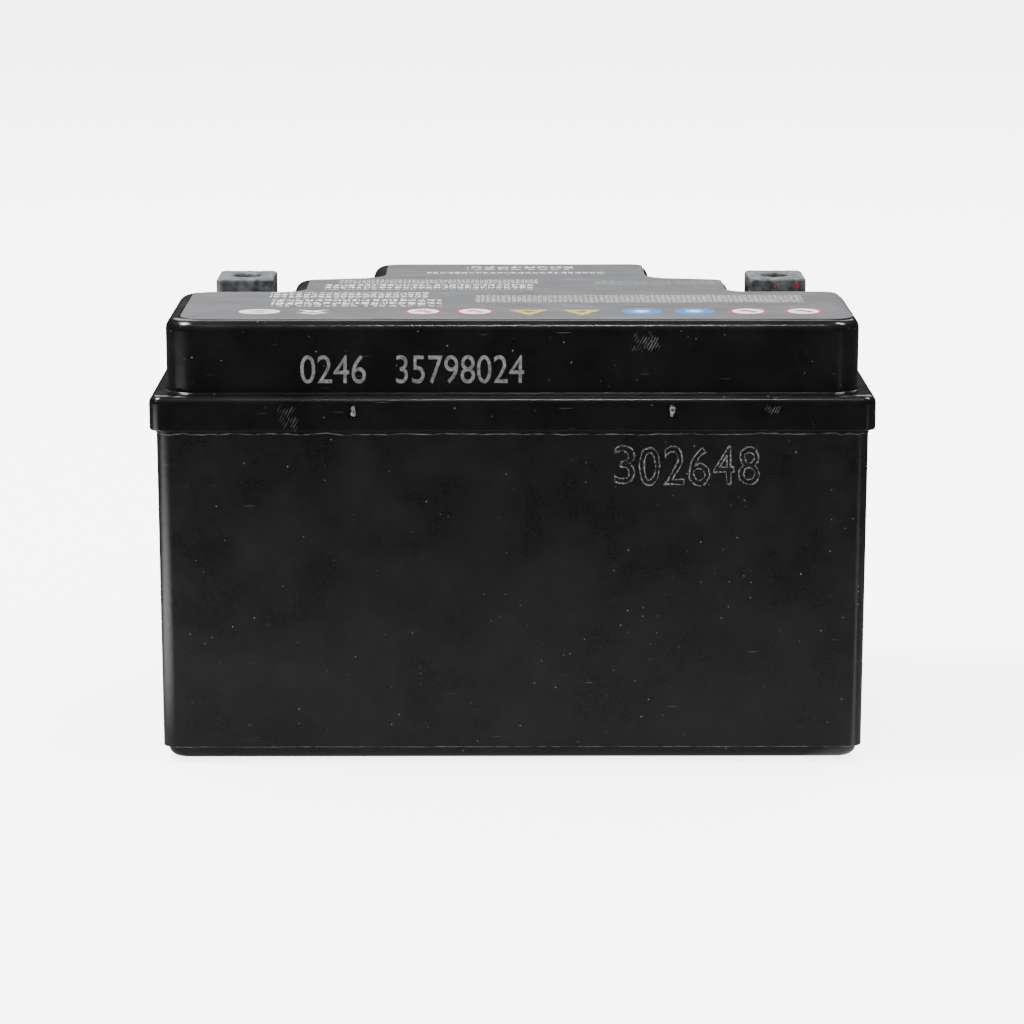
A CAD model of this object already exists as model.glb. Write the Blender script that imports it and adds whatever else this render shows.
# %% [markdown]
# # A small sealed motorcycle battery
#
# The real thing is a black plastic box with a lid welded on top, two cast lead terminals and
# a printed film. A CAD model with real joints already exists, and this notebook builds the
# looks around it. Every piece sits where the CAD says, in metres, and rides on a CAD body, so
# it moves when the body moves. The first cell loads that frame and keeps its size.

import math

import bmesh
import bpy
from mathutils import Matrix, Vector, noise


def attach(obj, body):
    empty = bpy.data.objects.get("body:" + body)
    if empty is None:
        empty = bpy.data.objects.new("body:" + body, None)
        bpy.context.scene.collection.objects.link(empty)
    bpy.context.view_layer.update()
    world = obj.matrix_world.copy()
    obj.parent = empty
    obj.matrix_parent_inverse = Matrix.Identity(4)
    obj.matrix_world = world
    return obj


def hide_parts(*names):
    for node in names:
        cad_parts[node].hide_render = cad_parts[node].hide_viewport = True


noise.seed_set(7)  # without a seed, noise_vector starts from the clock

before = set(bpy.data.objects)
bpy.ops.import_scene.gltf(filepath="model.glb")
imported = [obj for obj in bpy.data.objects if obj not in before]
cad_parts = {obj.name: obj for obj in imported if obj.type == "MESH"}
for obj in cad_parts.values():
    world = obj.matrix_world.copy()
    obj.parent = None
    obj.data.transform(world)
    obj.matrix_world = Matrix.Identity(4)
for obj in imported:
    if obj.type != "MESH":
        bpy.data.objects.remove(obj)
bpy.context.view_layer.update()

# %% [markdown]
# # Working by hand, in code
#
# Blender's edit mode tools act on whatever is selected. A person clicks the faces or edges,
# and here a small test picks them by where they are. Sizes are written in millimetres, as on
# a drawing, and one factor turns them into metres.

# %% Helpers for selecting
MM = 0.001


def mm(x, y, z):
    return Vector((x, y, z)) * MM


def leave_edit():
    if bpy.context.mode != "OBJECT":
        bpy.ops.object.mode_set(mode="OBJECT")


def work_on(piece):
    leave_edit()
    bpy.ops.object.select_all(action="DESELECT")
    piece.select_set(True)
    bpy.context.view_layer.objects.active = piece


def pick(piece, kind, wanted):
    """Select only the VERT, EDGE or FACE parts that wanted() accepts, and say how many."""
    if bpy.context.mode != "EDIT_MESH":
        work_on(piece)
        bpy.ops.object.mode_set(mode="EDIT")
    bpy.ops.mesh.select_mode(type=kind)
    bpy.ops.mesh.select_all(action="DESELECT")
    mesh = bmesh.from_edit_mesh(piece.data)
    parts = {"VERT": mesh.verts, "EDGE": mesh.edges, "FACE": mesh.faces}[kind]
    chosen = [part for part in parts if wanted(part)]
    for part in chosen:
        part.select_set(True)
    mesh.select_flush_mode()
    bmesh.update_edit_mesh(piece.data)
    return len(chosen)


def points(part):
    """The corners of a face, edge or vertex, in millimetres."""
    if isinstance(part, bmesh.types.BMVert):
        return [part.co / MM]
    return [vertex.co / MM for vertex in part.verts]


def level(part, z, slack=0.02):
    return all(abs(point.z - z) < slack for point in points(part))


def upright(edge):
    a, b = points(edge)
    return (a.xy - b.xy).length < 0.001


def within(part, low, high):
    return all(low[k] <= point[k] <= high[k] for point in points(part) for k in range(3))


# %% Helpers for simple solids
def settle(piece):
    """Move the object's place into its mesh, so that the object itself sits at the origin."""
    work_on(piece)
    bpy.ops.object.transform_apply(location=True, rotation=True, scale=True)
    return piece


def slab(name, low, high):
    """A block between two corners."""
    leave_edit()
    bpy.ops.object.select_all(action="DESELECT")
    middle = (mm(*low) + mm(*high)) / 2
    bpy.ops.mesh.primitive_cube_add(size=1, location=middle)
    piece = bpy.context.object
    piece.name = name
    piece.scale = mm(*high) - mm(*low)
    return settle(piece)


def round_slab(name, low, high, radius, steps=8):
    """A block with rounded upright edges."""
    piece = slab(name, low, high)
    pick(piece, "EDGE", upright)
    bpy.ops.mesh.bevel(offset=radius * MM, segments=steps, affect="EDGES")
    leave_edit()
    return piece


def peg(name, middle, radius, length, along="Z", sides=64):
    """A round bar, by its middle point."""
    leave_edit()
    bpy.ops.object.select_all(action="DESELECT")
    turn = {"X": (0, math.pi / 2, 0), "Y": (math.pi / 2, 0, 0), "Z": (0, 0, 0)}[along]
    bpy.ops.mesh.primitive_cylinder_add(
        vertices=sides, radius=radius * MM, depth=length * MM, location=mm(*middle), rotation=turn
    )
    piece = bpy.context.object
    piece.name = name
    return settle(piece)


def combine(piece, tool, operation="DIFFERENCE"):
    """Cut the tool from the piece, or join it on, and throw the tool away."""
    work_on(piece)
    step = piece.modifiers.new("combine", "BOOLEAN")
    step.operation = operation
    step.solver = "EXACT"
    step.use_self = True
    step.object = tool
    bpy.ops.object.modifier_apply(modifier=step.name)
    bpy.data.objects.remove(tool, do_unlink=True)
    return piece


def grow_rings(piece, wanted, z, middle, half, rings):
    """Extrude a level face ring by ring. A ring is its inset from half and its height, in mm."""
    pick(piece, "FACE", wanted)
    now = 0
    for inset, ring_z in rings:
        scale = [(half[k] - inset) / (half[k] - now) for k in (0, 1)] + [1]
        bpy.ops.mesh.extrude_region_move(TRANSFORM_OT_translate={"value": mm(0, 0, ring_z - z)})
        bpy.ops.transform.resize(value=scale, center_override=mm(*middle, ring_z))
        now, z = inset, ring_z
    leave_edit()


def join(name, pieces):
    work_on(pieces[0])
    for piece in pieces:
        piece.select_set(True)
    if len(pieces) > 1:
        bpy.ops.object.join()
    pieces[0].name = name
    return pieces[0]


def smooth(piece, angle=35, weighted=True):
    """Soft shading over the rounded edges. Weighted normals keep the big faces flat."""
    work_on(piece)
    bpy.ops.object.shade_smooth_by_angle(angle=math.radians(angle))
    if weighted:
        step = piece.modifiers.new("flat_faces", "WEIGHTED_NORMAL")
        step.keep_sharp = True
        bpy.ops.object.modifier_apply(modifier=step.name)
    return piece


def place(piece, body, slot, material, *nodes):
    """Hand a finished piece to the frame: its body, its slot, its look, and what it stands for."""
    if material:
        piece.data.materials.clear()
        piece.data.materials.append(material)
    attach(piece, body)
    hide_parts(*nodes)
    print(piece.name, len(piece.data.polygons), "faces, rides on", body)


# %% [markdown]
# # Materials from nodes
#
# A colour is easier to choose as the hex code a paint program shows, which is sRGB, while the
# shader wants linear light. One function converts. One more adds a node with its settings and
# links. Patterns read Object coordinates, so their scale is a real size: a pattern with a
# grain of 2 mm has 500 grains in a metre.

# %% Helpers for materials
def linear(colour):
    """An sRGB hex colour as linear red, green, blue and alpha."""
    parts = [int(colour[k : k + 2], 16) / 255 for k in (1, 3, 5)]
    return [c / 12.92 if c <= 0.04045 else ((c + 0.055) / 1.055) ** 2.4 for c in parts] + [1.0]


def add(tree, kind, links=None, **settings):
    """Add a node. links maps each input to a value or to the output that feeds it."""
    new = tree.nodes.new("ShaderNode" + kind)
    for name, value in settings.items():
        setattr(new, name, value)
    for name, value in (links or {}).items():
        if isinstance(value, bpy.types.NodeSocket):
            tree.links.new(value, new.inputs[name])
        else:
            new.inputs[name].default_value = value
    return new


def start(name, **sockets):
    """A new material with constants on its shader. Returns material, tree, shader, place."""
    material = bpy.data.materials.new(name)
    material.use_nodes = True
    tree = material.node_tree
    shader = tree.nodes["Principled BSDF"]
    for socket, value in sockets.items():
        shader.inputs[socket.replace("_", " ")].default_value = value
    place_in_piece = add(tree, "TexCoord").outputs["Object"]
    return material, tree, shader, place_in_piece


def per_mm(size):
    """The texture scale whose grain is this many millimetres."""
    return 1 / (size * MM)


# %% [markdown]
# A first family of finishes is a surface with two tones that drift into each other, over a
# fine grain that the light catches. Cast lead, pressed paste, rubber and glass mat all differ
# only in their colours, grain and shine, so one function serves them.

# %% The mottled finishes
def mottled(name, dark, light, blotch, grain, relief, shine, **sockets):
    """blotch and grain are sizes and relief is a height, in mm. shine is a roughness range."""
    material, tree, shader, where = start(name, **sockets)
    drift = add(tree, "TexNoise", {"Vector": where, "Scale": per_mm(blotch), "Detail": 5.0})
    pores = add(tree, "TexNoise", {"Vector": where, "Scale": per_mm(grain), "Detail": 3.0})
    spread = add(tree, "MapRange", {"Value": drift.outputs["Fac"], "From Min": 0.35, "From Max": 0.65})
    two_tones = {"Factor": spread.outputs[0], "A": linear(dark), "B": linear(light)}
    tone = add(tree, "Mix", two_tones, data_type="RGBA")
    tree.links.new(tone.outputs["Result"], shader.inputs["Base Color"])
    gloss = add(tree, "MapRange", {
        "Value": pores.outputs["Fac"], "From Min": 0.3, "From Max": 0.7,
        "To Min": shine[0], "To Max": shine[1],
    })
    tree.links.new(gloss.outputs[0], shader.inputs["Roughness"])
    bump = add(tree, "Bump", {"Height": pores.outputs["Fac"], "Distance": relief * MM})
    tree.links.new(bump.outputs[0], shader.inputs["Normal"])
    return material


# Lead cast in a mould: dull grey with darker oxide clouds and a sandy skin.
cast_lead = mottled("cast_lead", "#343537", "#636567", 1.9, 0.4, 0.16, (0.4, 0.62), Metallic=0.35)
# Zinc-plated steel: bright, faintly yellow, with a fine tumbled grain.
zinc_steel = mottled("zinc_plated_steel", "#a9a593", "#d6d2c4", 3.0, 0.2, 0.02, (0.25, 0.4), Metallic=1.0)
# EPDM rubber, moulded: charcoal and almost without shine.
epdm_rubber = mottled("moulded_epdm_rubber", "#19191a", "#242426", 4.0, 0.3, 0.02, (0.6, 0.75))
# Nitrile rubber of the seals: blacker, with a slight oily shine.
nitrile_rubber = mottled("nitrile_rubber", "#0e0e0f", "#17171a", 4.0, 0.3, 0.01, (0.35, 0.5))
# Poured epoxy resin: it levels itself, so only slow waves disturb a glassy face.
epoxy_black = mottled("poured_epoxy_black", "#0c0c0d", "#151517", 3.0, 2.0, 0.05, (0.12, 0.2))
epoxy_red = mottled("poured_epoxy_red", "#6d0b0a", "#8f1512", 3.0, 2.0, 0.05, (0.12, 0.2))
# Sintered polyethylene discs that let gas through: white, made of fused grains.
sintered = mottled("sintered_polyethylene", "#cfcfc8", "#efefe9", 0.8, 0.4, 0.1, (0.7, 0.85))
# Pasted plates: lead dioxide is chocolate brown, spongy lead is slate grey.
paste_positive = mottled("lead_dioxide_paste", "#2c1710", "#45261b", 5.0, 0.5, 0.08, (0.75, 0.9))
paste_negative = mottled("spongy_lead_paste", "#55595c", "#71767a", 5.0, 0.5, 0.08, (0.6, 0.8))
# Glass mat between the plates: white felt of very fine fibres.
glass_mat = mottled("glass_fibre_mat", "#d9d9d2", "#f3f3ee", 2.0, 0.25, 0.06, (0.8, 0.95))
print("mottled finishes made")

# %% [markdown]
# # Black moulded plastic
#
# Case and lid are injection-moulded. Their black is never even: the skin has a faint orange
# peel, handling leaves cloudy smudges that change the shine more than the colour, and dust
# and hairline scratches sit on top. The clouds come from a slow noise, the dust from the
# centres of Voronoi cells, of which only some are kept, and the scratches from two noises that
# are drawn out along one axis. Scuffs that sit in known places are a hatch inside a ragged spot.

# %% The plastic finishes
SCRATCH_LOOK = 0.22  # how far a scratch turns the plastic grey
SPECK_LOOK = 0.9  # the same for the brightest speck of dust
SHOVE = 9  # how far, in mm, a noise shoves a scuff's outline to make it ragged


def moulded(name, colour, worn, shine, peel, dust, scuffs=(), **sockets):
    """peel is the height of the orange peel in mm, and dust the share of cells with a speck.
    Each scuff has its place, radius and hatch pitch in mm, and its strength."""
    material, tree, shader, where = start(name, **sockets)
    clouds = add(tree, "TexNoise", {"Vector": where, "Scale": per_mm(13), "Detail": 9.0, "Roughness": 0.7})
    smudge = add(tree, "MapRange", {"Value": clouds.outputs["Fac"], "From Min": 0.4, "From Max": 0.75})
    # Scratches: two noises drawn out to hairlines, one sloping each way.
    hairs = []
    for slope in (-0.9, 0.6):
        turned = add(tree, "Mapping", {
            "Vector": where, "Rotation": (0.1, slope, 0.2), "Scale": (per_mm(9), per_mm(0.6), per_mm(0.35)),
        })
        lines = add(tree, "TexNoise", {"Vector": turned.outputs[0], "Scale": 1.0, "Detail": 1.0})
        hair = add(tree, "MapRange", {"Value": lines.outputs["Fac"], "From Min": 0.79, "From Max": 0.84})
        hairs.append(hair.outputs[0])
    hair = add(tree, "Math", {0: hairs[0], 1: hairs[1]}, operation="MAXIMUM")
    # Dust: a speck up to 0.3 mm wide at the middle of some cells that are 1.5 mm wide.
    cells = add(tree, "TexVoronoi", {"Vector": where, "Scale": per_mm(1.5)})
    near = add(tree, "MapRange", {"Value": cells.outputs["Distance"], "From Min": 0.11, "From Max": 0.03})
    kept = add(tree, "SeparateColor", {"Color": cells.outputs["Color"]})
    lucky = add(tree, "MapRange", {
        "Value": kept.outputs[0], "From Min": dust, "From Max": 0.0, "To Max": SPECK_LOOK,
    })
    speck = add(tree, "Math", {0: near.outputs[0], 1: lucky.outputs[0]}, operation="MULTIPLY")
    marks = add(tree, "Math", {0: hair.outputs[0], 1: SCRATCH_LOOK}, operation="MULTIPLY").outputs[0]
    marks = add(tree, "Math", {0: speck.outputs[0], 1: marks}, operation="MAXIMUM").outputs[0]
    # Scuffs: a noise has a mean of a half, so it shoves the spot by half of SHOVE on average.
    ragged = add(tree, "TexNoise", {"Vector": where, "Scale": per_mm(2.2), "Detail": 3.0})
    ways = {0: ragged.outputs["Color"], 1: mm(SHOVE, SHOVE, SHOVE), 2: where}
    shoved = add(tree, "VectorMath", ways, operation="MULTIPLY_ADD")
    for spot, radius, pitch, strength in scuffs:
        spot = Vector(spot) + Vector((SHOVE, SHOVE, SHOVE)) / 2
        away = add(tree, "VectorMath", {0: shoved.outputs[0], 1: mm(*spot)}, operation="DISTANCE")
        soft = add(tree, "MapRange", {
            "Value": away.outputs["Value"], "From Min": radius * MM, "From Max": radius * MM * 0.4,
        })
        tilt = add(tree, "Mapping", {"Vector": where, "Rotation": (0, math.radians(-28), 0)})
        # A wave of scale 1 repeats every tenth of pi, so this factor makes the pitch true.
        hatch = add(tree, "TexWave", {
            "Vector": tilt.outputs[0], "Scale": per_mm(pitch) * math.pi / 10,
            "Distortion": 1.6, "Detail": 3.0, "Detail Scale": 3.0,
        })
        sharp = add(tree, "MapRange", {"Value": hatch.outputs["Fac"], "From Min": 0.6, "From Max": 0.95})
        both = add(tree, "Math", {0: soft.outputs[0], 1: sharp.outputs[0]}, operation="MULTIPLY")
        shown = add(tree, "Math", {0: both.outputs[0], 1: strength}, operation="MULTIPLY")
        marks = add(tree, "Math", {0: marks, 1: shown.outputs[0]}, operation="MAXIMUM").outputs[0]
    two_tones = {"Factor": smudge.outputs[0], "A": linear(colour), "B": linear(worn)}
    cloudy = add(tree, "Mix", two_tones, data_type="RGBA")
    marked = {"Factor": marks, "A": cloudy.outputs["Result"], "B": linear("#8d8d8b")}
    tone = add(tree, "Mix", marked, data_type="RGBA")
    tree.links.new(tone.outputs["Result"], shader.inputs["Base Color"])
    gloss = add(tree, "MapRange", {"Value": smudge.outputs[0], "To Min": shine[0], "To Max": shine[1]})
    tree.links.new(gloss.outputs[0], shader.inputs["Roughness"])
    skin = add(tree, "TexNoise", {"Vector": where, "Scale": per_mm(1.6), "Detail": 2.0})
    rise = add(tree, "Math", {0: marks, 1: 0.6, 2: skin.outputs["Fac"]}, operation="MULTIPLY_ADD")
    bump = add(tree, "Bump", {"Height": rise.outputs[0], "Distance": peel * MM})
    tree.links.new(bump.outputs[0], shader.inputs["Normal"])
    return material


# Polypropylene case: satin black, a little cloudy.
case_plastic = moulded(
    "moulded_polypropylene_case", "#0c0c0d", "#171718", (0.27, 0.36), 0.03, 0.25,
    IOR=1.49, Specular_IOR_Level=0.35,
)
# ABS lid: the mould was polished, so it shines more than the case.
LID_SCUFFS = [
    ((27.5, -40.4, 89), 2.6, 0.56, 0.3),
    ((-46, -43.5, 75), 2.5, 0.56, 0.16),
    ((54, -43.5, 76), 1.4, 0.5, 0.25),
]
lid_plastic = moulded(
    "moulded_abs_lid", "#070708", "#101011", (0.17, 0.26), 0.02, 0.25, LID_SCUFFS,
    IOR=1.52, Specular_IOR_Level=0.4,
)
print("two black plastics made")

# %% [markdown]
# # The case
#
# The case is an open box with six cells. Its walls end in a quarter-round toe, and the box
# stands on a thin pad set well inside. By hand it is a cube: the upright edges are beveled,
# the underside is stepped down ring by ring for the toe, and the cells are cut in the top
# face by bisecting it at each partition and extruding the six parts down.

# %% Case: the outside
HALF_L = 73.7
HALF_D = 42.2
RIM_Z = 76.2
TOE_Z = 3.3
PAD_Z = 0.45

CORNER_R = 3
TOE_IN = 0.9
TOE_DEEP = 2.0
TOE_STEPS = 8

case = round_slab("case_moulding", (-HALF_L, -HALF_D, TOE_Z), (HALF_L, HALF_D, RIM_Z), CORNER_R, 10)
rings = [(0.15, TOE_Z), (TOE_IN, TOE_Z)]
for k in range(1, TOE_STEPS + 1):
    angle = math.radians(90 - 90 * k / TOE_STEPS)
    ring_in = TOE_IN + TOE_DEEP * (1 - math.sin(angle))
    rings.append((ring_in, PAD_Z + (TOE_Z - PAD_Z) * (1 - math.cos(angle))))
rings += [(3.9, PAD_Z), (4.0, 0.1), (4.15, 0.0)]
grow_rings(case, lambda face: face.normal.z < -0.9, TOE_Z, (0, 0), (HALF_L, HALF_D), rings)
print("case toe has", len(rings), "rings")

# %% Case: the cells
WALL = 2.4
PITCH = 24
PARTITION = 1.4
FLOOR_Z = 3.05

pick(case, "FACE", lambda face: face.normal.z > 0.9 and level(face, RIM_Z))
bpy.ops.mesh.inset(thickness=WALL * MM)
for wall_x in (-2, -1, 0, 1, 2):
    for side in (-1, 1):
        cut_x = wall_x * PITCH + side * PARTITION / 2
        pick(case, "FACE", lambda face: level(face, RIM_Z) and within(face, (-72, -40, 0), (72, 40, 99)))
        bpy.ops.mesh.bisect(plane_co=mm(cut_x, 0, 0), plane_no=(1, 0, 0))


def is_cell(face):
    if not (level(face, RIM_Z) and within(face, (-72, -40, 0), (72, 40, 99))):
        return False
    return max(p.x for p in points(face)) - min(p.x for p in points(face)) > 10


print("cells:", pick(case, "FACE", is_cell))
bpy.ops.mesh.extrude_region_move(TRANSFORM_OT_translate={"value": mm(0, 0, FLOOR_Z - RIM_Z)})
leave_edit()
smooth(case)
place(case, "battery_case", "case_black", case_plastic, "container")

# %% [markdown]
# # The lid
#
# The lid is a skirt that grips the case and a raised block with two notches, where the
# terminals stand. The block's outline is cut from one plane by bisecting, as one would cut
# card, and its corners are rounded before it is pulled up. Skirt and block are then joined
# with a Boolean, because that gives one closed shell whose edges can be filleted together.

# %% Lid: the raised block's outline
TOP_Z = 93.8
SHELF_Z = 78.6
SKIRT_Z = 71.3
EDGE_R = 2.4
STEPS_X = (71.9, 47.8, 31.2)
REAR_Y, RECESS_Y, MID_Y, MID_TAB_Y, TAB_Y = -40.4, 0.9, 18.5, 21.5, 42.1


def outline_plane(name, inset, z):
    """The raised block seen from above as one flat face, moved inwards by inset."""
    wide, mid, tab = (x - inset for x in STEPS_X)
    leave_edit()
    bpy.ops.object.select_all(action="DESELECT")
    low, high = mm(-wide, REAR_Y + inset, z), mm(wide, TAB_Y - inset, z)
    bpy.ops.mesh.primitive_plane_add(size=1, location=(low + high) / 2)
    plane = bpy.context.object
    plane.name = name
    plane.scale = (high.x - low.x, high.y - low.y, 1)
    settle(plane)
    for x in (-mid, -tab, tab, mid):
        pick(plane, "FACE", lambda face: True)
        bpy.ops.mesh.bisect(plane_co=mm(x, 0, z), plane_no=(1, 0, 0))
    pick(plane, "FACE", lambda face: True)
    bpy.ops.mesh.bisect(plane_co=mm(0, RECESS_Y - inset, z), plane_no=(0, 1, 0))
    for side in (-1, 1):
        out = mm(side * mid, MID_Y - inset, z)
        along = mm(side * tab, MID_TAB_Y - inset, z) - out
        pick(plane, "FACE", lambda face: all(tab - 1 < side * p.x < mid + 1 for p in points(face)))
        bpy.ops.mesh.bisect(plane_co=out, plane_no=(-along.y, along.x, 0))

    def waste(face):
        mean = sum((p for p in points(face)), Vector()) / len(face.verts)
        if abs(mean.x) < tab or mean.y < RECESS_Y:
            return False
        return abs(mean.x) > mid or mean.y > MID_TAB_Y
    pick(plane, "FACE", waste)
    bpy.ops.mesh.delete(type="FACE")
    pick(plane, "FACE", lambda face: True)
    bpy.ops.mesh.dissolve_limited(angle_limit=math.radians(1))
    corners = [
        (7 - inset, wide, REAR_Y + inset), (6 - inset, wide, RECESS_Y - inset),
        (2.5 + inset, mid, RECESS_Y - inset), (4 - inset, mid, MID_Y - inset),
        (2.5 + inset, tab, MID_TAB_Y - inset), (5 - inset, tab, TAB_Y - inset),
    ]
    for radius, x, y in corners:
        pick(plane, "VERT", lambda v: abs(abs(v.co.x / MM) - x) < 0.05 and abs(v.co.y / MM - y) < 0.05)
        bpy.ops.mesh.bevel(offset=radius * MM, segments=10, affect="VERTICES")
    leave_edit()
    return plane


def raised_block(name, inset, low_z, high_z):
    block = outline_plane(name, inset, low_z)
    pick(block, "FACE", lambda face: True)
    bpy.ops.mesh.extrude_region_move(TRANSFORM_OT_translate={"value": mm(0, 0, high_z - low_z)})
    pick(block, "FACE", lambda face: True)
    bpy.ops.mesh.normals_make_consistent(inside=False)
    leave_edit()
    return block


# %% Lid: skirt and block, with their rounded edges
lid = round_slab("lid_moulding", (-75, -43.5, SKIRT_Z), (75, 43.5, SHELF_Z), 3, 10)
pick(lid, "EDGE", lambda edge: level(edge, SHELF_Z))
bpy.ops.mesh.bevel(offset=1.7 * MM, segments=6, affect="EDGES")
pick(lid, "EDGE", lambda edge: level(edge, SKIRT_Z))
bpy.ops.mesh.bevel(offset=0.3 * MM, segments=2, affect="EDGES")

block = raised_block("block", 0, SHELF_Z - 1.5, TOP_Z)
pick(block, "EDGE", lambda edge: level(edge, TOP_Z))
bpy.ops.mesh.bevel(offset=EDGE_R * MM, segments=8, affect="EDGES")
combine(lid, block, "UNION")


def at_root(edge):
    """The line where the raised block meets the shelf."""
    return level(edge, SHELF_Z) and all(
        abs(p.x) < 72.2 and p.y > REAR_Y - 0.2 and p.y < TAB_Y + 0.2 for p in points(edge)
    )


print("root edges:", pick(lid, "EDGE", at_root))
bpy.ops.mesh.bevel(offset=0.4 * MM, segments=3, affect="EDGES")
leave_edit()

# %% [markdown]
# The moulded plus and minus stand on the shelf beside their terminals. Two of the lid's
# gates, where plastic was let into the mould, are small pockets in the skirt. The film hides
# the vent wells, but the valve caps move in them, so they are cut as they really are.

# %% Lid: marks, pockets and hidden rooms
TERMINAL_X, TERMINAL_Y = 60, 33
GATE_X = 32.8

marks = []
for side in (-1, 1):
    x, y = side * TERMINAL_X, 13.45
    marks.append(slab("mark", (x - 3.5, y - 0.8, SHELF_Z - 0.5), (x + 3.5, y + 0.8, SHELF_Z + 0.4)))
    if side > 0:
        marks.append(slab("mark", (x - 0.8, y - 3.5, SHELF_Z - 0.5), (x + 0.8, y + 3.5, SHELF_Z + 0.4)))
    marks.append(peg("collar", (x, TERMINAL_Y, 75.15), 6.2, 5.9))
combine(lid, join("marks", marks), "UNION")

cavity = round_slab("cavity", (-73.85, -42.35, 60), (73.85, 42.35, RIM_Z), 3, 8)
combine(cavity, join("collars", [peg("c", (s * TERMINAL_X, TERMINAL_Y, 75.15), 6.2, 5.9) for s in (-1, 1)]))
combine(lid, cavity)

WELL_Y = -28.5
ARRESTOR = (54, -8)
cell_xs = [PITCH * (k - 2.5) for k in range(6)]
hollow = raised_block("hollow", 2.4, RIM_Z - 1, 90.6)
solid_parts = [slab("rib", (PITCH * k - 0.7, -60, 70), (PITCH * k + 0.7, 60, 99)) for k in range(-2, 3)]
solid_parts += [peg("boss", (x, WELL_Y, 90), 7.5, 20) for x in cell_xs]
solid_parts += [peg("boss", (s * ARRESTOR[0], ARRESTOR[1], 92.6), 6.7, 10) for s in (-1, 1)]
solid_parts += [peg("collar", (s * TERMINAL_X, TERMINAL_Y, 75.15), 6.2, 5.9) for s in (-1, 1)]
combine(hollow, join("solid_parts", solid_parts))
combine(lid, hollow)

wells = join("wells", [peg("well", (x, WELL_Y, 90), 6, 16.8) for x in cell_xs])
combine(wells, join("nipples", [peg("nipple", (x, WELL_Y, 83), 3.5, 8) for x in cell_xs]))
combine(lid, wells)
rooms = [peg("gas", (x, WELL_Y, 85), 1.6, 30, sides=24) for x in cell_xs]
rooms.append(round_slab("recess", (-69.1, -36.5, 92.2), (69.1, -1.9, 96), 3, 4))
rooms.append(slab("gallery", (-60, WELL_Y - 1.5, 91.4), (60, WELL_Y + 1.5, 93)))
for s in (-1, 1):
    x, y = s * ARRESTOR[0], ARRESTOR[1]
    rooms.append(slab("gallery", (x - 1.5, WELL_Y, 91.4), (x + 1.5, y, 93)))
    rooms.append(peg("seat", (x, y, 92.6), 4.6, 6))
    rooms.append(peg("exhaust", (x, y + 5, 91), 0.8, 10, "Y", 24))
    x = s * TERMINAL_X
    rooms.append(round_slab("pool", (x - 8.5, 24, 77.3), (x + 8.5, 42, 82), 2, 5))
    rooms.append(peg("groove", (x, TERMINAL_Y, 77.7), 5.5, 4))
    rooms.append(peg("post", (x, TERMINAL_Y, 75), 4.1, 20))
    pocket_low, pocket_high = (s * GATE_X - 1.1, -44.5, 74.2), (s * GATE_X + 1.1, -43.05, 77.2)
    rooms.append(round_slab("gate", pocket_low, pocket_high, 0.01, 1))
combine(lid, join("rooms", rooms))
smooth(lid)
place(lid, "battery_case", "lid_black", lid_plastic, "lid")

# %% [markdown]
# # Cast lead terminals
#
# Each terminal is a lead casting with a chamber for a loose square nut, so that a bolt can be
# put in from above or from the front. It starts as a block, the chamber and the holes are cut
# away, and every edge is softened by hand-cast amounts. A little noise moves the skin, as
# lead is too soft to keep a true face.

# %% Terminals
TERM_Z, TERM_TOP = 77.3, 92.5
CHAMBER_Z, CHAMBER_TOP = 79.7, 90.1


def cast_terminal(name, side):
    x = side * TERMINAL_X
    low, high = (x - 6.5, 26, TERM_Z), (x + 6.5, 40, TERM_TOP)
    piece = round_slab(name, low, high, 1.0, 3)
    chamber = slab("chamber", (x - 9, TERMINAL_Y - 5.2, CHAMBER_Z), (x + 9, TERMINAL_Y + 5.2, CHAMBER_TOP))
    pick(chamber, "EDGE", lambda edge: abs(points(edge)[0].x - points(edge)[1].x) > 5)
    bpy.ops.mesh.bevel(offset=0.5 * MM, segments=3, affect="EDGES")
    leave_edit()
    combine(piece, chamber)
    combine(piece, peg("bolt", (x, TERMINAL_Y, 92), 3.2, 6, sides=40))
    combine(piece, peg("bolt", (x, 40, 84.9), 3.2, 6, "Y", 40))
    work_on(piece)
    step = piece.modifiers.new("soft_edges", "BEVEL")
    step.width = 0.45 * MM
    step.segments = 3
    step.angle_limit = math.radians(40)
    bpy.ops.object.modifier_apply(modifier=step.name)
    step = piece.modifiers.new("even_faces", "REMESH")
    step.mode = "VOXEL"
    step.voxel_size = 0.3 * MM
    bpy.ops.object.modifier_apply(modifier=step.name)
    for vertex in piece.data.vertices:
        if vertex.co.z > (TERM_Z + 0.5) * MM and abs(vertex.co.x / MM - x) < 6.4:
            lump = noise.noise(vertex.co / (1.3 * MM)) + 0.5 * noise.noise(vertex.co / (0.5 * MM))
            middle = mm(x, TERMINAL_Y, vertex.co.z / MM)
            vertex.co -= (vertex.co - middle).normalized() * (0.03 + 0.06 * lump) * MM
            vertex.co.z -= (0.03 + 0.06 * lump) * MM
    return smooth(piece, 60, False)


for side, word in ((-1, "negative"), (1, "positive")):
    terminal = cast_terminal("terminal_casting_" + word, side)
    place(terminal, "battery_case", "cast_lead", cast_lead, "terminal_" + word)

# %% [markdown]
# # Nuts and resin
#
# The square nuts lie loose in the chambers. Each is a block with a threaded hole, and the
# thread is a column of cones, wide and narrow by turns, cut from it. Around each terminal the
# lid's pool is filled with epoxy, black at the negative and red at the positive. Resin wets
# what it touches, so its surface climbs at the lead and at the lid's wall.

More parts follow.
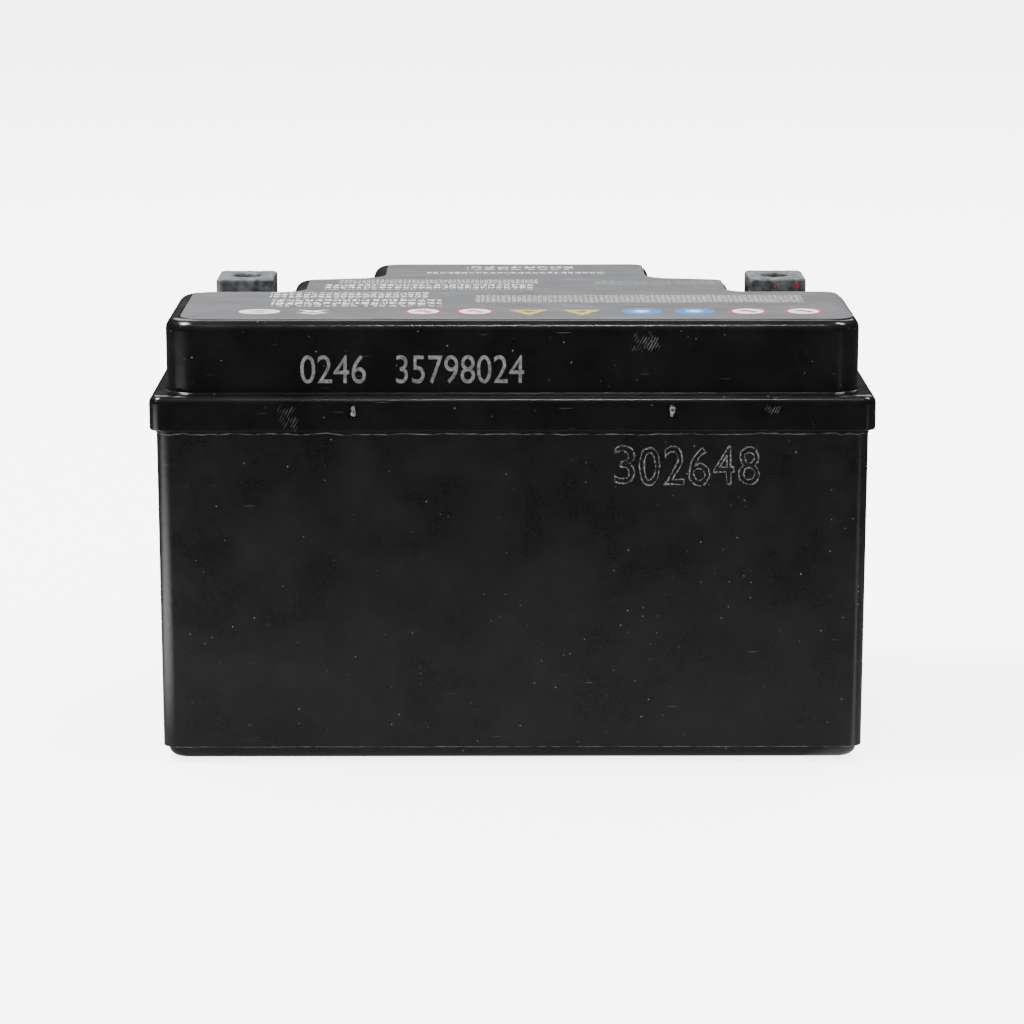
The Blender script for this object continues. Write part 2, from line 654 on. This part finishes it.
# %% Nuts
def threaded_nut(name, side):
    x = side * TERMINAL_X
    piece = round_slab(name, (x - 5, 28, 79.75), (x + 5, 38, 84.75), 0.6, 4)
    pick(piece, "EDGE", lambda edge: level(edge, 79.75) or level(edge, 84.75))
    bpy.ops.mesh.bevel(offset=0.35 * MM, segments=2, affect="EDGES")
    leave_edit()
    bpy.ops.object.select_all(action="DESELECT")
    bpy.ops.mesh.primitive_circle_add(
        vertices=40, radius=3.1 * MM, fill_type="NGON", location=mm(x, TERMINAL_Y, 79.65)
    )
    column = settle(bpy.context.object)
    turns = [(0.6 if k % 2 == 0 else 0.15, 79.65 + 0.4 * (k + 1)) for k in range(12)] + [(0.0, 84.9)]
    grow_rings(column, lambda face: True, 79.65, (x, TERMINAL_Y), (3.1, 3.1), turns)
    pick(column, "FACE", lambda face: True)
    bpy.ops.mesh.normals_make_consistent(inside=False)
    combine(piece, column)
    return smooth(piece, 30)


for side, word in ((-1, "negative"), (1, "positive")):
    place(threaded_nut("square_nut_" + word, side), word + "_nut", "zinc_steel", zinc_steel, "nut_" + word)


# %% Resin
def resin_pool(name, side):
    x = side * TERMINAL_X
    pool = round_slab(name, (x - 8.47, 24.03, TERM_Z), (x + 8.47, 41.97, 78.5), 2, 6)
    rings = [(0.2, 78.32), (0.5, 78.22), (1.0, 78.2), (1.5, 78.26), (1.8, 78.4), (2.1, 78.66)]
    grow_rings(pool, lambda face: face.normal.z > 0.9, 78.5, (x, TERMINAL_Y), (8.47, 8.97), rings)
    combine(pool, round_slab("lead", (x - 6.4, 26.1, 70), (x + 6.4, 39.9, 90), 1.0, 4))
    return smooth(pool, 50, False)


place(resin_pool("resin_pool_negative", -1), "battery_case", "resin_black", epoxy_black, "resin_negative")
place(resin_pool("resin_pool_positive", 1), "battery_case", "resin_red", epoxy_red, "resin_positive")

# %% [markdown]
# # The printed film
#
# A grey polyester film is stuck over the whole raised block and hides the vents. It is thin
# enough to show every unevenness: slow waves, ripples along the near edge, one pinched fold,
# and a corner that has come loose, so that it stays level while the lid's edge falls away
# under it. The outline plane is bisected into a fine grid, its corners are lifted by a height
# rule in code, and Solidify gives it thickness. The rule is kept, because the printed shapes
# that lie on the film use it too.

# %% Film: its shape
FILM_Z = 93.89


def film_height(x, y):
    """Height of the film's upper face, in mm."""
    slow = noise.noise(Vector((x / 19, y / 12, 3)))
    near_edge = math.exp(-max(y + 39, 0) / 7)
    ripple = math.sin(x / 4.1 + 3 * noise.noise(Vector((x / 15, 0, 1)))) * near_edge
    crease = (x + 40 + 0.8 * (y + 27)) / 0.9
    fold = math.exp(-crease * crease - ((y + 30) / 7) ** 2)
    z = FILM_Z + 0.03 * slow + 0.014 * ripple + 0.03 * fold
    out = math.hypot(max(abs(x) - 64.9, 0), max(-33.4 - y, 0)) - (7 - EDGE_R)
    if out > 0:
        loose = min(max((x - 48) / 12, 0), 1) * min(max((-y - 28) / 6, 0), 1)
        z -= (1 - loose) * (EDGE_R - math.sqrt(EDGE_R**2 - min(out, 1.2) ** 2))
    return z


FILM_GRID = 1.6  # the film is cut into squares of this size, so that it can follow its waves

film = outline_plane("printed_film", 2.2, 94)
stuck_askew = Matrix.Translation(mm(0.9, -0.2, 0))
film.data.transform(stuck_askew)
for k in range(-44, 45):
    pick(film, "FACE", lambda face: True)
    bpy.ops.mesh.bisect(plane_co=mm(FILM_GRID * k, 0, 0), plane_no=(1, 0, 0))
for k in range(-25, 27):
    pick(film, "FACE", lambda face: True)
    bpy.ops.mesh.bisect(plane_co=mm(0, FILM_GRID * k, 0), plane_no=(0, 1, 0))
leave_edit()
for vertex in film.data.vertices:
    vertex.co.z = film_height(vertex.co.x / MM, vertex.co.y / MM) * MM
step = film.modifiers.new("thickness", "SOLIDIFY")
step.thickness = 0.045 * MM
step.offset = -1
work_on(film)
bpy.ops.object.modifier_apply(modifier=step.name)
smooth(film, 40, False)

# %% [markdown]
# The film's fine print is drawn in its material, because it is too small for geometry. Real
# words are not wanted, so each block is a lattice of rows and letter widths, in which a noise
# leaves irregular strokes. From normal distance that reads as small type. The coloured
# symbols are plain discs, triangles and bars without any meaning.

# %% Film: its material
# Polyester film, offset-printed and varnished: grey with a soft gloss.
film_print, tree, shader, where = start(
    "printed_polyester_film", Roughness=0.38, IOR=1.58, Specular_IOR_Level=0.2,
)
axes = add(tree, "SeparateXYZ", {"Vector": where}).outputs
# Each block: middle x and y, width, depth, row pitch, letter pitch in mm, and its strength.
BLOCKS = [
    (27, -11.5, 70, 10, 1.43, 1.1, 0.5),
    (-33, -17, 36, 9, 4.6, 2.0, 0.95),
    (-35, -6.5, 34, 8, 2.8, 1.6, 0.9),
    (-18, 5.5, 46, 7, 3.4, 1.7, 0.9),
    (-16, 13, 44, 6, 1.5, 1.0, 0.6),
    (32, 11, 27, 6, 3.0, 1.8, 0.12),
    (1, 26, 40, 2.6, 2.6, 1.6, 0.85),
    (2, 33.5, 24, 4.6, 4.6, 3.0, 0.95),
]
ink = None
for x, y, width, depth, row, letter, strength in BLOCKS:
    in_x = add(tree, "Math", {0: axes[0], 1: x * MM, 2: width / 2 * MM}, operation="COMPARE")
    in_y = add(tree, "Math", {0: axes[1], 1: y * MM, 2: depth / 2 * MM}, operation="COMPARE")
    first_row = 0.5 + (depth / 2 - y) / row
    rows = add(tree, "Math", {0: axes[1], 1: per_mm(row), 2: first_row}, operation="MULTIPLY_ADD")
    rows = add(tree, "Math", {0: rows.outputs[0]}, operation="FRACT")
    rows = add(tree, "Math", {0: rows.outputs[0], 1: 0.64}, operation="LESS_THAN")
    slots = add(tree, "Math", {0: axes[0], 1: per_mm(letter)}, operation="MULTIPLY")
    slots = add(tree, "Math", {0: slots.outputs[0]}, operation="FRACT")
    slots = add(tree, "Math", {0: slots.outputs[0], 1: 0.78}, operation="LESS_THAN")
    grain_scale = (per_mm(letter * 0.36), per_mm(row * 0.3), 0)
    grain = add(tree, "Mapping", {"Vector": where, "Scale": grain_scale})
    strokes = add(tree, "TexNoise", {"Vector": grain.outputs[0], "Scale": 1.0, "Detail": 0.0})
    strokes = add(tree, "Math", {0: strokes.outputs["Fac"], 1: 0.47}, operation="GREATER_THAN")
    shown = add(tree, "Math", {0: in_x.outputs[0], 1: in_y.outputs[0]}, operation="MULTIPLY").outputs[0]
    for part in (rows, slots, strokes):
        shown = add(tree, "Math", {0: shown, 1: part.outputs[0]}, operation="MULTIPLY").outputs[0]
    shown = add(tree, "Math", {0: shown, 1: strength}, operation="MULTIPLY").outputs[0]
    ink = shown if ink is None else add(tree, "Math", {0: ink, 1: shown}, operation="MAXIMUM").outputs[0]
haze = add(tree, "TexNoise", {"Vector": where, "Scale": per_mm(14), "Detail": 4.0})
two_greys = {"Factor": haze.outputs["Fac"], "A": linear("#47484a"), "B": linear("#515254")}
grey = add(tree, "Mix", two_greys, data_type="RGBA")
with_ink = {"Factor": ink, "A": grey.outputs["Result"], "B": linear("#d2d2d0")}
inked = add(tree, "Mix", with_ink, data_type="RGBA")
tree.links.new(inked.outputs["Result"], shader.inputs["Base Color"])
crinkle = add(tree, "TexNoise", {"Vector": where, "Scale": per_mm(13), "Detail": 3.0})
bump = add(tree, "Bump", {"Height": crinkle.outputs["Fac"], "Distance": 0.9 * MM})
tree.links.new(bump.outputs[0], shader.inputs["Normal"])
place(film, "battery_case", "label_film", film_print, "label")

# %% Film: its coloured symbols
INKS = {
    word: mottled("printing_ink_" + word, low, high, 1.5, 0.5, 0.01, (0.38, 0.45), Specular_IOR_Level=0.2)
    for word, low, high in (
        ("white", "#c4c4c2", "#d4d4d2"), ("red", "#8a1f3c", "#9a2b47"), ("yellow", "#94882a", "#a59a3c"),
        ("blue", "#125ca8", "#2068b0"), ("grey", "#4a4a4c", "#555557"),
    )
}


def flat_shape(ink, x, y, radius, lift, sides=48, stretch=(1, 1), spin=0):
    """A thin printed shape that follows the film, lift mm above it."""
    leave_edit()
    bpy.ops.object.select_all(action="DESELECT")
    bpy.ops.mesh.primitive_circle_add(vertices=sides, radius=radius * MM, fill_type="TRIFAN")
    shape = bpy.context.object
    shape.scale = (*stretch, 1)
    settle(shape)
    pick(shape, "FACE", lambda face: True)
    bpy.ops.mesh.subdivide(number_cuts=2 if sides > 8 else 7)
    leave_edit()
    shape.rotation_euler.z = math.radians(spin)
    shape.location = mm(x, y, 0)
    settle(shape)
    for vertex in shape.data.vertices:
        vertex.co.z = (film_height(vertex.co.x / MM, vertex.co.y / MM) + lift) * MM
    shape.data.materials.append(INKS[ink])
    return shape


ROW_Y = -28.5
symbols = [
    flat_shape("white", -52.8, ROW_Y, 4.3, 0.008, stretch=(1, 0.7)),
    flat_shape("grey", -52.8, ROW_Y + 1, 2.6, 0.016, 4, (1, 0.22)),
    flat_shape("grey", -52.8, ROW_Y - 0.9, 2.6, 0.016, 4, (1, 0.22)),
]
for spin in (35, -35):
    symbols.append(flat_shape("white", -41.6, ROW_Y, 4.2, 0.008, 4, (1, 0.2), spin))
symbols.append(flat_shape("white", -41.6, ROW_Y - 3, 2.6, 0.008, 4, (1, 0.2)))
for x in (-18.6, -7.8, 49.2, 60.8):
    symbols.append(flat_shape("red", x, ROW_Y, 4.1, 0.006))
    symbols.append(flat_shape("white", x, ROW_Y, 3.3, 0.012))
    symbols.append(flat_shape("grey", x - 0.6, ROW_Y + 0.6, 1.5, 0.018, 6, (1, 0.6), 20))
    symbols.append(flat_shape("grey", x + 1.0, ROW_Y - 0.8, 0.9, 0.018, 24))
for x in (3.4, 14.4):
    symbols.append(flat_shape("yellow", x, ROW_Y - 0.4, 4.7, 0.008, 3, spin=180))
    symbols.append(flat_shape("grey", x, ROW_Y - 0.4, 1.7, 0.016, 3, spin=180))
for x in (27, 38):
    symbols.append(flat_shape("blue", x, ROW_Y, 4.2, 0.008))
    symbols.append(flat_shape("white", x, ROW_Y + 0.8, 2.2, 0.016, 4, (1, 0.3)))
    symbols.append(flat_shape("white", x, ROW_Y - 0.9, 2.2, 0.016, 4, (1, 0.3)))
symbols = join("printed_symbols", symbols)
step = symbols.modifiers.new("ink_thickness", "SOLIDIFY")
step.thickness = 0.004 * MM
step.offset = -1
bpy.ops.object.modifier_apply(modifier=step.name)
place(symbols, "battery_case", "label_film", None)

# %% [markdown]
# # Numbers on the plastic
#
# The maker's codes are numbers only here. One row is jet-printed in grey on the lid: text
# turned into a mesh and laid on the wall. The other is hot-stamped into the case: a heated
# die pushed the plastic up in rough rims around each stroke, so each digit is a text outline
# with a round bevel, jostled a little, with a sunken face inside.

# %% Numbers
def digits(name, text, height, width, outline=0):
    """Digits as a mesh that stands up, facing -Y, its lower left corner at the origin."""
    leave_edit()
    bpy.ops.object.select_all(action="DESELECT")
    bpy.ops.object.text_add()
    words = bpy.context.object
    words.data.body = text
    words.data.resolution_u = 6
    bpy.ops.object.convert(target="CURVE")
    curve = bpy.context.object
    size = curve.dimensions
    curve.scale = (width * MM / size.x, height * MM / size.y, 1)
    bpy.ops.object.transform_apply(location=False, rotation=False, scale=True)
    if outline:
        curve.data.fill_mode = "NONE" if curve.data.dimensions == "2D" else "FULL"
        curve.data.bevel_depth = outline * MM
        curve.data.bevel_resolution = 2
    else:
        curve.data.extrude = 0.015 * MM
    bpy.ops.object.convert(target="MESH")
    mesh_piece = bpy.context.object
    mesh_piece.name = name
    low_x = min(v.co.x for v in mesh_piece.data.vertices)
    low_y = min(v.co.y for v in mesh_piece.data.vertices)
    mesh_piece.data.transform(Matrix.Translation((-low_x, -low_y, 0)))
    mesh_piece.rotation_euler.x = math.radians(90)
    return settle(mesh_piece)


def move(piece, x, y, z):
    piece.location = mm(x, y, z)
    return settle(piece)


# Grey jet ink on black: dusty, and thin enough for the black to show through.
jet_ink = mottled("grey_jet_ink", "#3c3c3c", "#6a6a69", 0.6, 0.3, 0.01, (0.6, 0.8))
first = move(digits("jet_code_1", "0246", 5.9, 13.5), -43.7, -40.42, 80.8)
second = move(digits("jet_code_2", "35798024", 5.9, 26.4), -24, -40.42, 80.8)
place(join("jet_printed_numbers", [first, second]), "battery_case", "lid_black", jet_ink)

# Melted and torn polypropylene: the rims are rough and catch small glints.
stamped = mottled("hot_stamped_polypropylene", "#08080a", "#757577", 0.45, 0.2, 0.35, (0.06, 0.3))
# The die pressed the face of each stroke in and left it matt black.
sunken = mottled("die_pressed_polypropylene", "#020202", "#080808", 0.6, 0.3, 0.05, (0.5, 0.7))
DIGIT_W, DIGIT_H, DIGIT_PITCH = 4.1, 8.0, 5.15
rims = []
for k, digit in enumerate("302648"):
    low_x, low_z = 21.2 + DIGIT_PITCH * k, 59.9 + (0.25, -0.1, 0.1, -0.2, 0.15, 0)[k]
    for outline, finish in ((0.27, stamped), (0, sunken)):
        part = digits("rim", digit, DIGIT_H, DIGIT_W, outline)
        part.data.materials.clear()
        part.data.materials.append(finish)
        rims.append(move(part, low_x - outline, -42.2, low_z - outline))
rims = join("hot_stamped_numbers", rims)
for vertex in rims.data.vertices:
    jolt = noise.noise_vector(vertex.co / (0.5 * MM))
    vertex.co += Vector((jolt.x, 0.8 * jolt.y, jolt.z)) * 0.3 * MM
smooth(rims, 50, False)
place(rims, "battery_case", "case_black", None)

# %% [markdown]
# # Small traces of making
#
# Welding the lid on squeezes out an uneven bead under the skirt, and the halves of the mould
# leave a hair-thin burr above the toe. The gates leave torn stubs in their pockets, and red
# paint that marks the positive terminal has splashed on the lead.
# Such traces are tiny, but without them the object looks drawn instead of made.

# %% Weld bead and parting line
def hairline(name, z, radius, wander):
    """A thin uneven bead of plastic all around the case, at height z. wander is in mm."""
    leave_edit()
    bpy.ops.object.select_all(action="DESELECT")
    bpy.ops.mesh.primitive_plane_add(size=1, location=mm(0, 0, z))
    bead = bpy.context.object
    bead.name = name
    bead.scale = (2 * HALF_L * MM, 2 * HALF_D * MM, 1)
    settle(bead)
    pick(bead, "VERT", lambda vertex: True)
    bpy.ops.mesh.bevel(offset=3 * MM, segments=6, affect="VERTICES")
    pick(bead, "FACE", lambda face: True)
    bpy.ops.mesh.delete(type="ONLY_FACE")
    pick(bead, "EDGE", lambda edge: (points(edge)[0] - points(edge)[1]).length > 10)
    bpy.ops.mesh.subdivide(number_cuts=110)
    leave_edit()
    for vertex in bead.data.vertices:
        jolt = noise.noise_vector(vertex.co / (2.3 * MM)) + 0.6 * noise.noise_vector(vertex.co / (0.7 * MM))
        vertex.co += Vector((jolt.x, jolt.y, 2.5 * jolt.z)) * wander * MM
    work_on(bead)
    bpy.ops.object.convert(target="CURVE")
    bead = bpy.context.object
    bead.data.bevel_depth = radius * MM
    bead.data.bevel_resolution = 2
    bpy.ops.object.convert(target="MESH")
    return smooth(bpy.context.object, 60, False)


flash = mottled("plastic_flash", "#09090a", "#565656", 1.8, 0.4, 0.15, (0.25, 0.5))
place(hairline("weld_bead", 70.5, 0.13, 0.12), "battery_case", "case_black", flash)
place(hairline("parting_burr", TOE_Z + 0.05, 0.06, 0.02), "battery_case", "case_black", flash)

# %% Gate stubs and paint
# Torn plastic turns white where it was stretched.
torn = mottled("torn_abs", "#161616", "#858582", 0.5, 0.25, 0.2, (0.4, 0.7))
# Red marking lacquer, splashed.
lacquer = mottled("red_lacquer", "#7c0d1e", "#a3152b", 0.8, 0.4, 0.03, (0.2, 0.35))


def crumb(name, middle, half, roughness, material_of):
    leave_edit()
    bpy.ops.object.select_all(action="DESELECT")
    bpy.ops.mesh.primitive_ico_sphere_add(subdivisions=4, radius=1)
    piece = bpy.context.object
    piece.name = name
    piece.scale = mm(*half)
    settle(piece)
    for vertex in piece.data.vertices:
        lump = noise.noise(vertex.co / (0.5 * MM) + Vector(middle))
        vertex.co *= 1 + roughness * lump
    move(piece, *middle)
    smooth(piece, 60, False)
    piece.data.materials.append(material_of)
    return piece


stubs = [crumb("stub", (s * GATE_X, -43.08, 75.6), (0.5, 0.22, 1.0), 1.1, torn) for s in (-1, 1)]
place(join("gate_stubs", stubs), "battery_case", "lid_black", None)
splashes = [
    crumb("splash", (64.3, 26.06, 91.0), (0.42, 0.1, 0.75), 0.6, lacquer),
    crumb("splash", (59.8, 26.06, 90.9), (0.25, 0.1, 0.4), 0.6, lacquer),
    crumb("splash", (62.0, 28.3, 92.42), (0.5, 0.35, 0.07), 0.6, lacquer),
]
place(join("paint_splashes", splashes), "battery_case", "cast_lead", None)

# %% [markdown]
# # The look of the hidden pieces
#
# Plates, straps, seals and the vent cover keep their CAD shape, which is already right. Each
# only gets its own finish. CAD nodes keep their meshes, so just the material is exchanged.

# %% Finishes on the CAD nodes
FINISHES = {
    "vent_cover": lid_plastic, "post": cast_lead, "seal_ring": nitrile_rubber, "flame_arrestor": sintered,
    "valve_cap": epdm_rubber, "intercell_weld": cast_lead,
}


def finish_for(name):
    if name.endswith("positive_plates"):
        return paste_positive
    if name.endswith("negative_plates"):
        return paste_negative
    if name.endswith("separators"):
        return glass_mat
    if name.endswith("strap"):
        return cast_lead
    for beginning, finish in FINISHES.items():
        if name.startswith(beginning):
            return finish
    return None


painted = 0
for name, cad_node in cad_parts.items():
    finish = finish_for(name)
    if finish:
        cad_node.data.materials.clear()
        cad_node.data.materials.append(finish)
        painted += 1
print(painted, "CAD nodes painted")

# %% [markdown]
# # Floor, light and camera
#
# A plain pale floor and four soft lights, as in a small studio. Black plastic shows little but
# reflections, so these do most of the work. In the plastic's gloss the floor is a dim card with
# pools of light on it, and the pools draw the streaks down the corners. The edge strip draws the
# broken line along the lid's front fillets. Seen directly, the floor is white.

# %% Floor and world
leave_edit()
bpy.ops.object.select_all(action="DESELECT")
bpy.ops.mesh.primitive_plane_add(size=6)
floor = bpy.context.object
floor.name = "studio_floor"
paper, tree, shader, where = start("studio_paper", Roughness=0.9, Specular_IOR_Level=0.0)
fibre = add(tree, "TexNoise", {"Vector": where, "Scale": per_mm(2), "Detail": 2.0})
two_whites = {"Factor": fibre.outputs["Fac"], "A": linear("#f3f3f3"), "B": linear("#f7f7f7")}
tone = add(tree, "Mix", two_whites, data_type="RGBA")
# Seen in the plastic's gloss the floor is dim, as if a black card lay before the battery.
path = add(tree, "LightPath")
card = {"Factor": path.outputs["Is Glossy Ray"], "A": tone.outputs["Result"], "B": linear("#2c2c2c")}
carded = add(tree, "Mix", card, data_type="RGBA")
tree.links.new(carded.outputs["Result"], shader.inputs["Base Color"])
# Each pool is an ellipse: middle x and y, half length and width, turn in degrees, strength.
POOLS = [
    (-0.205, -0.105, 0.125, 0.125, 0, 9),
    (-0.385, -0.16, 0.17, 0.06, -70, 6),
    (0.23, -0.175, 0.24, 0.012, -40, 6),
    (0, -0.05, 0.3, 0.2, 0, 0.6),
]
FLOOR_GLOW = 4.0  # strength of the floor where it is seen directly
glow = None
for x, y, half_length, half_width, turn, power in POOLS:
    own = add(tree, "Mapping", {
        "Vector": where, "Location": (x, y, 0), "Rotation": (0, 0, math.radians(turn)),
        "Scale": (half_length, half_width, 1),
    }, vector_type="TEXTURE")
    away = add(tree, "VectorMath", {0: own.outputs[0]}, operation="LENGTH")
    pool = add(tree, "MapRange", {
        "Value": away.outputs["Value"], "From Min": 0.4, "From Max": 1.0, "To Min": power, "To Max": 0.0,
    })
    glow = pool.outputs[0] if glow is None else add(tree, "Math", {0: glow, 1: pool.outputs[0]}).outputs[0]
glow = add(tree, "Math", {0: glow, 1: path.outputs["Is Glossy Ray"]}, operation="MULTIPLY")
# Seen directly the floor is a lit white sweep, so almost no shadow is left on it.
seen = {0: path.outputs["Is Camera Ray"], 1: FLOOR_GLOW, 2: glow.outputs[0]}
glow = add(tree, "Math", seen, operation="MULTIPLY_ADD")
tree.links.new(glow.outputs[0], shader.inputs["Emission Strength"])
shader.inputs["Emission Color"].default_value = (1, 1, 1, 1)
floor.data.materials.append(paper)

world = bpy.data.worlds.new("studio")
bpy.context.scene.world = world
world.use_nodes = True
tree = world.node_tree
shade = tree.nodes["Background"]
path = add(tree, "LightPath")
look = add(tree, "TexCoord")
way = add(tree, "SeparateXYZ", {"Vector": look.outputs["Generated"]})
# The walls light the object evenly, but its gloss mirrors them dark, and paler only overhead.
WALLS = 1.5
MIRRORED_WALLS, MIRRORED_CEILING = 0.05, 0.35
behind = add(tree, "MapRange", {
    "Value": way.outputs["Z"], "From Min": 0.3, "From Max": 1.0,
    "To Min": MIRRORED_WALLS, "To Max": MIRRORED_CEILING,
})
by_ray = {"Factor": path.outputs["Is Glossy Ray"], "A": WALLS, "B": behind.outputs[0]}
picked = add(tree, "Mix", by_ray, data_type="FLOAT")
tree.links.new(picked.outputs["Result"], shade.inputs["Strength"])
shade.inputs["Color"].default_value = (1, 1, 1, 1)


# %% Lights
def soft_light(name, position, size, power):
    """A rectangular light that faces the battery. size is width and height in metres."""
    leave_edit()
    bpy.ops.object.select_all(action="DESELECT")
    bpy.ops.object.light_add(type="AREA", location=position)
    light = bpy.context.object
    light.name = name
    light.data.shape = "RECTANGLE"
    light.data.size, light.data.size_y = size
    light.data.energy = power
    aim = Vector((0, 0, 0.05)) - Vector(position)
    light.rotation_euler = aim.to_track_quat("-Z", "Y").to_euler()


soft_light("key_left", (-0.62, 0.0, 1.0), (0.3, 0.3), 22)
soft_light("strip_right", (0.62, -0.05, 0.95), (0.12, 0.4), 7)
soft_light("back_top", (0.1, 1.0, 0.9), (1.4, 0.7), 12)
soft_light("edge_strip", (0.05, -0.62, 1.15), (0.2, 0.015), 2.2)

# %% Camera
bpy.ops.object.camera_add(location=mm(-3.0, -699.3, 201.4))
camera = bpy.context.object
camera.rotation_euler = (math.radians(90 - 12.64), 0, math.radians(-0.25))
camera.data.lens = 114.2
camera.data.sensor_width = 36
bpy.context.scene.camera = camera
